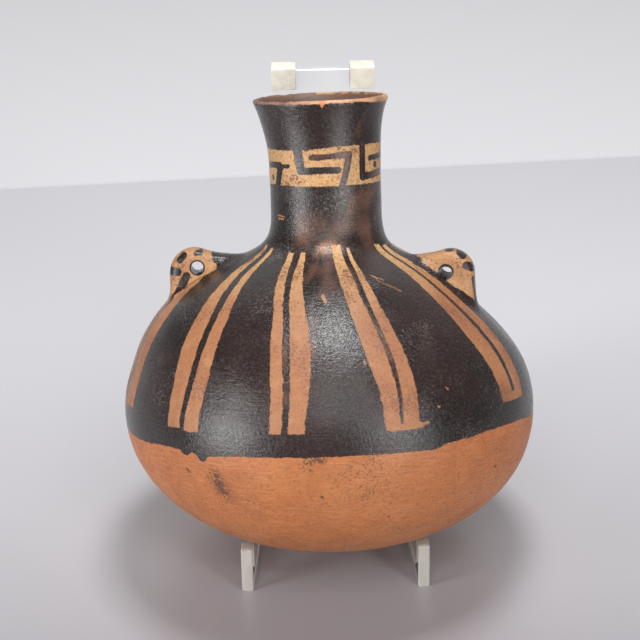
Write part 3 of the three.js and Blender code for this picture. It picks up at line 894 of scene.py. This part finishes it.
class ClayPaint:
    """One zone's material, with the map, the grains and the colours that all zones share."""

    def __init__(self, name, jar, groups):
        self.jar, self.groups = jar, groups
        self.material, self.tree, self.shader = new_material(name)
        tree = self.tree
        wrap = tree.nodes.new("ShaderNodeUVMap")
        wrap.uv_map = WRAP
        self.around, self.up, _ = split(tree, wrap.outputs["UV"])
        self.here = tree.nodes.new("ShaderNodeTexCoord").outputs["Object"]
        self.wobble = minus(tree, grain(tree, self.here, 210, 3), 0.5)
        ragged = minus(tree, grain(tree, self.here, 900, 2), 0.5)
        self.azimuth = scaled(tree, self.around, 360.0, -180.0)
        self.height = scaled(tree, self.up, WRAP_SPAN / MM, WRAP_LOW / MM)
        for unevenness, degrees, rise in ((self.wobble, 1.1, 1.4), (ragged, 0.7, 1.1)):
            self.azimuth = scaled(tree, unevenness, degrees, self.azimuth)
            self.height = scaled(tree, unevenness, rise, self.height)
        self.flat = make_vector(tree, times(tree, self.azimuth, MAP_SCALE), self.height)
        self.broad = grain(tree, self.here, 16, 3)
        self.mottle = grain(tree, self.here, 60, 4)
        self.cloud = grain(tree, self.here, 180, 4)
        self.fine = grain(tree, self.here, 700, 3)
        self.grit = grain(tree, self.here, 1500, 2)
        self.streaks = grain(tree, make_vector(tree, self.around, times(tree, self.up, 5.0)), 55, 4)

    def strokes(self, table, softness=None, place=None, across=MAP_SCALE):
        """Mask of a table's strokes, on the flat map of the surface or on a given one."""
        return either(self.tree, (use_group(
            self.tree, self.groups["stroke"], Place=place or self.flat,
            Start=(start[0] * across, start[1], 0), End=(end[0] * across, end[1], 0), Width=width,
            Softness=softness * width if softness else 0.22) for start, end, width in table))

    def specks(self, size, patch, level, softness=0.06):
        return use_group(self.tree, self.groups["specks"], Place=self.here, Size=size, Patch=patch,
                         Level=level, Softness=softness)

    def tint(self, colour, layers):
        """Lays tones over a colour: each has a texture, the levels of its start and full strength, a share."""
        for texture, start, full, share, tone in layers:
            colour = mix(self.tree, ease(self.tree, texture, start, full, 0.0, share), colour, tone)
        return colour

    def slip(self, thin=()):
        """Burnished dark slip, brown where it is thin, with a lighter fine grain and pale specks that are
        partly wear and partly painted glints where the burnish catches light.
        """
        tree = self.tree
        # The fine lighter layer and the pale specks below stand partly for wear and partly for painted glints,
        # where the burnished slip catches light.
        colour = self.tint(tuple(self.jar.slip), (
            (self.broad, 0.36, 0.64, 1.0, (0.024, 0.0125, 0.011)),
            (self.mottle, 0.50, 0.75, 0.5, (0.040, 0.025, 0.022)),
            (self.fine, 0.47, 0.70, 0.5, (0.046, 0.036, 0.032))))
        colour = mix(tree, self.specks(1100.0, 45.0, 0.71), colour, (0.10, 0.080, 0.068))
        if thin:
            patches = times(tree, self.strokes(thin, 0.6), ease(tree, self.mottle, 0.36, 0.62))
            colour = mix(tree, times(tree, patches, 0.7), colour, (0.15, 0.072, 0.048))
        return colour

    def buff(self, yellow):
        """Buff paint, yellower towards the neck."""
        tree = self.tree
        colour = self.tint(tuple(self.jar.buff), ((self.mottle, 0.35, 0.7, 1.0, (0.315, 0.116, 0.047)),))
        colour = mix(tree, times(tree, yellow, 0.7), colour, (0.71, 0.46, 0.20))
        brushed = grain(tree, make_vector(tree, times(tree, self.around, 18.0), self.up), 24, 3)
        colour = self.tint(colour, (
            (brushed, 0.35, 0.7, 0.35, (0.36, 0.15, 0.06)),
            (self.fine, 0.48, 0.70, 0.75, (0.25, 0.105, 0.048)),
            (self.cloud, 0.50, 0.72, 0.35, (0.48, 0.24, 0.115))))
        return mix(tree, self.specks(900.0, 60.0, 0.66), colour, (0.20, 0.085, 0.045))

    def worn(self, colour, low, high):
        """Clay that shows where the slip has been rubbed or scratched."""
        tree = self.tree
        for table, softness, strength in ((RUBBED, 0.8, 0.75), (FLECKS, 0.25, 0.9)):
            marks = within(table, low, high)
            if marks:
                mask = times(tree, self.strokes(marks, softness), ease(tree, self.mottle, 0.3, 0.55))
                colour = mix(tree, times(tree, mask, strength), colour, (0.42, 0.18, 0.085))
        return colour

    def clay(self):
        """Bare fired clay with sooty specks."""
        colour = self.tint(tuple(self.jar.clay), (
            (self.mottle, 0.35, 0.7, 1.0, (0.37, 0.118, 0.036)),
            (self.broad, 0.45, 0.7, 0.5, (0.50, 0.20, 0.075)),
            (self.fine, 0.48, 0.72, 0.8, (0.25, 0.085, 0.033)),
            (self.streaks, 0.48, 0.70, 0.5, (0.57, 0.24, 0.095))))
        return mix(self.tree, self.specks(1100.0, 30.0, 0.725), colour, (0.17, 0.07, 0.035))

    def lay(self, base, paint, colour):
        """Paint laid over a base, with fine gaps where it has worn."""
        return mix(self.tree, times(self.tree, paint, ease(self.tree, self.fine, 0.22, 0.36)),
                   base, colour)

    def finish(self, colour, gloss):
        """Sets the colour, the gloss of burnished slip over dull clay, and the fine relief."""
        tree, inputs = self.tree, self.shader.inputs
        tree.links.new(colour, inputs["Base Color"])
        roughness = ease(tree, gloss, 0.0, 1.0, 0.50, 0.23)
        for texture, share in ((self.mottle, 0.2), (self.fine, 0.35), (self.grit, 0.6)):
            roughness = scaled(tree, minus(tree, texture, 0.5), share, roughness)
        tree.links.new(roughness, inputs["Roughness"])
        relief = scaled(tree, self.fine, 0.7, times(tree, self.streaks, 0.7))
        relief = scaled(tree, self.grit, 0.7, relief)
        raise_relief(tree, self.shader, relief, 0.8, 0.3 * MM)
        return self.material


def paint_neck(jar, groups):
    """Neck: slip with a buff band of dark key strokes, a worn lip with its chip, and the inner wall."""
    zone = ClayPaint("painted_neck", jar, groups)
    tree = zone.tree
    front = maths(tree, "WRAP", zone.azimuth, 90.0, -90.0)
    level = scaled(tree, ease(tree, front, -30.0, 20.0), -1.4, zone.height)
    band = times(tree, ease(tree, level, *BAND_HEAD, 1.0, 0.0), ease(tree, zone.height, *BAND_FOOT))
    neck_map = make_vector(tree, times(tree, front, NECK_MAP_SCALE), zone.height)
    keys = zone.strokes(KEY_STROKES, place=neck_map, across=NECK_MAP_SCALE)
    band = times(tree, band, minus(tree, 1.0, keys))
    colour = zone.lay(zone.slip(within(THIN_SLIP, SHOULDER_TOP, NECK_TOP)), band, zone.buff(0.9))
    colour = zone.worn(colour, SHOULDER_TOP, NECK_TOP)

    side = scaled(tree, zone.broad, 60.0, zone.azimuth)
    lip_colour = mix(tree, ease(tree, side, -30.0, 60.0), (0.26, 0.14, 0.09), (0.64, 0.35, 0.19))
    lip_colour = mix(tree, ease(tree, zone.mottle, 0.45, 0.7, 0.0, 0.7), lip_colour, (0.22, 0.11, 0.07))
    worn_rise = scaled(tree, ease(tree, zone.azimuth, 25.0, 60.0), 1.3, zone.height)
    lip = ease(tree, worn_rise, *LIP_EDGE)
    colour = mix(tree, lip, colour, lip_colour)
    inner = marked(tree, "inside")
    inner_colour = mix(tree, zone.mottle, (0.10, 0.052, 0.035), (0.18, 0.10, 0.068))
    colour = mix(tree, inner, colour, inner_colour)
    chip_side = maths(tree, "ABSOLUTE", scaled(tree, zone.azimuth, 0.58, -0.35))
    steepness = 0.62
    chip_rise = scaled(tree, zone.height, steepness, -CHIP_TIP * steepness)
    chip = ease(tree, minus(tree, chip_rise, chip_side), -0.2, 0.3)
    colour = mix(tree, chip, colour, (0.58, 0.20, 0.09))
    dull = maths(tree, "MAXIMUM", maths(tree, "MAXIMUM", band, lip), inner)
    return zone.finish(colour, minus(tree, 1.0, dull))


def shoulder_stripes(zone, table):
    return either(zone.tree, (use_group(
        zone.tree, zone.groups["stripe"], Azimuth=zone.azimuth, Height=zone.height, Foot=foot,
        Middle=middle, Top=top) for foot, middle, top in table))


def paint_shoulder(jar, groups):
    """Shoulder: slip with tapering buff stripes in pairs, two of the pairs tied at the foot."""
    zone = ClayPaint("painted_shoulder", jar, groups)
    tree = zone.tree
    stripes = maths(tree, "MAXIMUM", shoulder_stripes(zone, STRIPES), zone.strokes(TIES))
    slip = zone.slip(within(THIN_SLIP, BASE_TOP, SHOULDER_TOP))
    colour = zone.lay(slip, stripes, zone.buff(ease(tree, zone.height, 50.0, 85.0)))
    return zone.finish(zone.worn(colour, BASE_TOP, SHOULDER_TOP), minus(tree, 1.0, stripes))


def paint_lugs(jar, groups):
    """Lugs: slip with a buff eye round each hole, crossed by short dark strokes."""
    zone = ClayPaint("painted_lugs", jar, groups)
    tree = zone.tree
    raised = marked(tree, "lug")
    eyes = either(tree, (paint_lug(tree, zone.here, groups["stroke"], zone.wobble, jar, paint)
                         for paint in LUG_PAINT))
    eyes = times(tree, eyes, raised)
    stripes = shoulder_stripes(zone, [s for s in STRIPES if abs(abs(s[1][0]) - 90) < 22])
    stripes = times(tree, stripes, ease(tree, raised, 0.0, 0.5, 1.0, 0.0))
    paint = maths(tree, "MAXIMUM", eyes, stripes)
    colour = zone.lay(zone.slip(), paint, zone.buff(0.45))
    return zone.finish(colour, minus(tree, 1.0, paint))


def paint_base(jar, groups):
    """Base: bare clay with soot, and pits painted dark as the shade in their hollows, under the ragged lower
    edge of the slip.
    """
    zone = ClayPaint("bare_clay", jar, groups)
    tree = zone.tree
    curve = tree.nodes.new("ShaderNodeFloatCurve")
    line = curve.mapping.curves[0]
    while len(line.points) < len(SLIP_EDGE):
        line.points.new(0.5, 0.5)
    for point, (at, level) in zip(line.points, SLIP_EDGE):
        point.location = ((at + 180) / 360, (level + 20) / 20)
        point.handle_type = "AUTO_CLAMPED"
    curve.mapping.update()
    tree.links.new(zone.around, curve.inputs["Value"])
    edge = scaled(tree, curve.outputs[0], 20.0, -20.0)
    slip = ease(tree, minus(tree, zone.height, edge), -0.25, 0.3)
    soot_and_pit_shade = times(tree, zone.strokes(SOOT, 0.5), zone.specks(900.0, 160.0, 0.57, 0.06))
    # Pits are drawn as dark dots: painted shade of small hollows that the mesh doesn't have.
    soot_and_pit_shade = maths(tree, "MAXIMUM", soot_and_pit_shade, zone.strokes(PITS, 0.3))
    clay = mix(tree, times(tree, soot_and_pit_shade, 0.85), zone.clay(), (0.055, 0.028, 0.018))
    return zone.finish(mix(tree, slip, clay, zone.slip()), slip)


def clear_plastic(name, colour, alpha, roughness):
    material, tree, shader = new_material(name)
    shader.inputs["Base Color"].default_value = (*colour, 1)
    shader.inputs["Alpha"].default_value = alpha
    shader.inputs["IOR"].default_value = 1.49
    coords = tree.nodes.new("ShaderNodeTexCoord")
    wiped = grain(tree, coords.outputs["Object"], 120, 4)
    tree.links.new(ease(tree, wiped, 0.3, 0.8, roughness, roughness + 0.12), shader.inputs["Roughness"])
    return material


def soft_pad(stand):
    material, tree, shader = new_material("soft_pad")
    coords = tree.nodes.new("ShaderNodeTexCoord")
    cloud = grain(tree, coords.outputs["Object"], 220, 3)
    colour = mix(tree, ease(tree, cloud, 0.3, 0.7), tuple(stand.pad), (0.84, 0.81, 0.72))
    tree.links.new(colour, shader.inputs["Base Color"])
    shader.inputs["Roughness"].default_value = 0.32
    shader.inputs["IOR"].default_value = 1.42
    shader.inputs["Alpha"].default_value = 0.93
    raise_relief(tree, shader, cloud, 0.4, 0.2 * MM)
    return material


# pieces

def shape_panel(stand):
    low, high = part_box("stand_back_panel")
    middle = (low + high) / 2
    half, foot = 26.8 * MM, (high.x - low.x) / 2
    shoulder = 26.5 * MM
    blend = 2 * abs(foot - half)
    outline = rounded_outline((
        (-foot, 0, 1.5 * MM), (foot, 0, 1.5 * MM), (foot, shoulder, 3 * MM),
        (half, shoulder + blend, blend / 2), (half, high.z, 1.5 * MM), (-half, high.z, 1.5 * MM),
        (-half, shoulder + blend, blend / 2), (-foot, shoulder, 3 * MM)))
    bm = sheet_from_outline(outline, stand.sheet, stand.edge_round)
    for face in bm.faces:
        top = face.calc_center_median().z > high.z - stand.edge_round * 1.01
        # The front bevel of the top edge takes the second material, the white painted highlight.
        face.material_index = 1 if top and -0.95 < face.normal.y < -0.25 else 0
    bmesh.ops.translate(bm, verts=bm.verts, vec=(middle.x, middle.y, 0))
    return bm


def shape_runner(stand, side):
    """A runner on edge: along the floor is Y, from the front of its lip to the panel."""
    length, end_height, end_length = RUNNER_LENGTH, 22 * MM, 30 * MM
    outline = rounded_outline((
        (0, 0, 0.2 * MM), (length, 0, 0), (length, end_height, 0),
        (length - end_length, stand.bar_height, 3 * MM),
        (11.4 * MM, stand.bar_height, 3 * MM), (8.4 * MM, stand.lip_height, 1.1 * MM),
        (0, stand.lip_height, 2.2 * MM)))
    bm = sheet_from_outline(outline, stand.sheet, stand.edge_round)
    place = Matrix.Translation((STAND_MIDDLE + side * RUNNER_OUT, RUNNER_FRONT, 0))
    turn = Matrix.Rotation(side * RUNNER_SPLAY, 4, "Z") @ Matrix.Rotation(math.pi / 2, 4, "Z")
    bm.transform(place @ turn)
    return bm


def shape_pad(node):
    """A soft channel folded over the panel's top edge."""
    low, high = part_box(node)
    middle = (low + high) / 2
    outside, inside = (high.y - low.y) / 2, (high.y - low.y) / 2 - PAD_WALL
    under = high.z - PAD_WALL
    outline = rounded_outline((
        (-outside, low.z, 0.3 * MM), (-inside, low.z, 0.3 * MM), (-inside, under, 0.3 * MM),
        (inside, under, 0.3 * MM), (inside, low.z, 0.3 * MM), (outside, low.z, 0.3 * MM),
        (outside, high.z, 1.6 * MM), (-outside, high.z, 1.6 * MM)))
    bm = sheet_from_outline(outline, high.x - low.x, 0.4 * MM, 3)
    for face in bm.faces:
        face.material_index = 0
    bm.transform(Matrix.Translation((middle.x, middle.y, 0)) @ Matrix.Rotation(math.pi / 2, 4, "Z"))
    return bm


class MakeJar(bpy.types.Operator):
    """Build the painted jar with its two pierced lugs"""
    bl_idname = "pottery.make_jar"
    bl_label = "Jar"

    def execute(self, context):
        jar = context.scene.jar_settings
        piece = shape_jar(jar)
        piece.name = "painted_jar"
        piece.data.polygons.foreach_set("use_smooth", [True] * len(piece.data.polygons))
        piece.data.set_sharp_from_angle(angle=SHARP_ANGLE)
        groups = {"stroke": stroke_group(), "stripe": stripe_group(), "specks": speck_group()}
        for paint in (paint_neck, paint_shoulder, paint_lugs, paint_base):
            piece.data.materials.append(paint(jar, groups))
        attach(piece, "root")
        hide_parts("vessel")
        return {"FINISHED"}


class MakeStand(bpy.types.Operator):
    """Build the clear back panel and its two runners"""
    bl_idname = "pottery.make_stand"
    bl_label = "Clear stand"

    def execute(self, context):
        stand = context.scene.stand_settings
        clear = (clear_plastic("clear_face", stand.face, 0.10, 0.04),
                 clear_plastic("clear_edge", stand.edge, 0.82, 0.10))
        # A near-white material for the panel's front top edge: a painted highlight of the light along that
        # edge.
        painted_highlight = clear_plastic("painted_highlight_edge", (0.95, 0.95, 0.95), 0.9, 0.10)
        finish_piece(shape_panel(stand), "clear_panel", (clear[0], painted_highlight),
                     ["stand_back_panel"])
        for side, name in ((-1, "left"), (1, "right")):
            finish_piece(shape_runner(stand, side), "clear_runner_" + name, clear,
                         ["stand_runner_" + name])
        return {"FINISHED"}


class MakePads(bpy.types.Operator):
    """Build the soft pads on the panel's top corners"""
    bl_idname = "pottery.make_pads"
    bl_label = "Corner pads"

    def execute(self, context):
        soft = soft_pad(context.scene.stand_settings)
        for name in ("left", "right"):
            node = "corner_pad_" + name
            finish_piece(shape_pad(node), "soft_pad_" + name, [soft], [node])
        return {"FINISHED"}


# The edge between the floor and the backdrop, behind the jar, and how far it is turned
FLOOR_EDGE = 0.474
FLOOR_TURN = math.radians(4.1)

# The camera's place, its angles and its lens
CAMERA_PLACE = (-0.01643, -1.06922, 0.67106)
CAMERA_PITCH, CAMERA_TURN, CAMERA_ROLL = math.radians(27), math.radians(0.68), math.radians(1.05)
CAMERA_LENS, CAMERA_FRAME = 135, 36

# Each light: its place, what it faces and its size in metres, and its power in watts
LIGHTS = (
    ("top softbox", (0.10, 0.05, 1.3), (0, 0, 0.1), (0.36, 0.32), 11),
    ("front softbox", (0.05, -1.0, 1.15), (0, 0, 0.05), (0.9, 0.5), 6.5),
    ("left softbox", (-1.33, -0.76, 0.46), (0, 0, 0.1), (0.35, 0.85), 13.5),
    ("right softbox", (0.85, -1.2, 0.48), (0, 0, 0.1), (0.3, 0.9), 8),
    ("front fill", (0.05, -1.9, 0.7), (0, 0, 0.1), (1.8, 0.7), 2),
    ("back softbox", (0, 2.2, 1.35), (0, 0, 0.1), (3.2, 1.2), 8),
    ("left card", (-0.62, -0.52, 0.03), (0, 0, 0.22), (0.2, 0.4), 2.2),
    ("right card", (0.50, -0.66, 0.03), (0, 0, 0.22), (0.16, 0.35), 1.2),
)


class MakeStage(bpy.types.Operator):
    """Set out the floor, the backdrop, the lights and the camera"""
    bl_idname = "pottery.make_stage"
    bl_label = "Stage"

    def execute(self, context):
        stage = context.scene.stage_settings
        make_sweep(stage)
        world = bpy.data.worlds.new("studio")
        world.use_nodes = True
        world.node_tree.nodes["Background"].inputs["Color"].default_value = (0.88, 0.87, 0.90, 1)
        world.node_tree.nodes["Background"].inputs["Strength"].default_value = 0.24
        context.scene.world = world
        context.scene.view_settings.view_transform = "Standard"
        for light in LIGHTS:
            add_light(*light)
        aim_camera(context)
        return {"FINISHED"}


def make_sweep(stage):
    """The floor, painted darker towards the camera as painted shade, and, behind a faint edge, the paler
    rising backdrop.
    """
    bm = bmesh.new()
    bmesh.ops.create_grid(bm, x_segments=1, y_segments=1, size=3)
    bmesh.ops.translate(bm, verts=bm.verts, vec=(0, FLOOR_EDGE - 3, 0))
    back = [e for e in bm.edges if all(v.co.y > 0.4 for v in e.verts)]
    raised = bmesh.ops.extrude_edge_only(bm, edges=back)
    top = [v for v in raised["geom"] if isinstance(v, bmesh.types.BMVert)]
    bmesh.ops.translate(bm, verts=top, vec=(0, 4, 0.5))
    bmesh.ops.recalc_face_normals(bm, faces=bm.faces)
    if bm.faces[:][0].normal.z < 0:
        bmesh.ops.reverse_faces(bm, faces=bm.faces)
    bmesh.ops.rotate(bm, verts=bm.verts, cent=(0, FLOOR_EDGE, 0),
                     matrix=Matrix.Rotation(FLOOR_TURN, 3, "Z"))
    sweep = loose_object(bm, "floor")
    material, tree, shader = new_material("studio_floor")
    coords = tree.nodes.new("ShaderNodeTexCoord")
    _, depth, rise = split(tree, coords.outputs["Object"])
    # Painted shade: the floor's colour darkens from behind the jar towards the camera.
    floor = mix(tree, ease(tree, depth, -0.30, 0.32), tuple(stage.front), tuple(stage.floor))
    colour = mix(tree, ease(tree, rise, 0.0, 0.0005), floor, tuple(stage.backdrop))
    tree.links.new(colour, shader.inputs["Base Color"])
    shader.inputs["Roughness"].default_value = 0.36
    shader.inputs["IOR"].default_value = 1.75
    sweep.data.materials.append(material)
    return sweep


def add_light(name, place, target, size, power):
    data = bpy.data.lights.new(name, "AREA")
    data.shape = "RECTANGLE"
    data.size, data.size_y = size
    data.energy = power
    light = bpy.data.objects.new(name, data)
    light.location = place
    light.rotation_euler = (Vector(target) - Vector(place)).to_track_quat("-Z", "Y").to_euler()
    bpy.context.scene.collection.objects.link(light)
    return light


def aim_camera(context):
    """Sets the camera above and in front of the jar, slightly turned and rolled."""
    data = bpy.data.cameras.new("camera")
    data.lens, data.sensor_width = CAMERA_LENS, CAMERA_FRAME
    pitch, turn, roll = CAMERA_PITCH, CAMERA_TURN, CAMERA_ROLL
    ahead = Vector((math.sin(turn) * math.cos(pitch), math.cos(turn) * math.cos(pitch), -math.sin(pitch)))
    level = Vector((math.cos(turn), -math.sin(turn), 0))
    upward = level.cross(ahead)
    right = level * math.cos(roll) - upward * math.sin(roll)
    top = level * math.sin(roll) + upward * math.cos(roll)
    axes = Matrix((right, top, -ahead)).transposed().to_4x4()
    camera = bpy.data.objects.new("camera", data)
    camera.matrix_world = Matrix.Translation(CAMERA_PLACE) @ axes
    context.scene.collection.objects.link(camera)
    context.scene.camera = camera


class PotteryPanel(bpy.types.Panel):
    """Buttons for the jar, its stand and the stage"""
    bl_idname = "VIEW3D_PT_pottery"
    bl_label = "Painted pottery"
    bl_space_type = "VIEW_3D"
    bl_region_type = "UI"
    bl_category = "Pottery"

    def draw(self, context):
        for settings in ("jar_settings", "stand_settings", "stage_settings"):
            group = getattr(context.scene, settings)
            for name in group.__annotations__:
                self.layout.prop(group, name)
        for step in STEPS:
            self.layout.operator(step.bl_idname)


STEPS = (MakeStage, MakeJar, MakeStand, MakePads)
CLASSES = (JarSettings, StandSettings, StageSettings, *STEPS, PotteryPanel)


def register():
    for entry in CLASSES:
        bpy.utils.register_class(entry)
    bpy.types.Scene.jar_settings = bpy.props.PointerProperty(type=JarSettings)
    bpy.types.Scene.stand_settings = bpy.props.PointerProperty(type=StandSettings)
    bpy.types.Scene.stage_settings = bpy.props.PointerProperty(type=StageSettings)


def unregister():
    del bpy.types.Scene.stage_settings
    del bpy.types.Scene.stand_settings
    del bpy.types.Scene.jar_settings
    for entry in reversed(CLASSES):
        bpy.utils.unregister_class(entry)


def main():
    register()
    bpy.ops.pottery.make_stage()
    bpy.ops.pottery.make_jar()
    bpy.ops.pottery.make_stand()
    bpy.ops.pottery.make_pads()


if __name__ == "__main__":
    main()
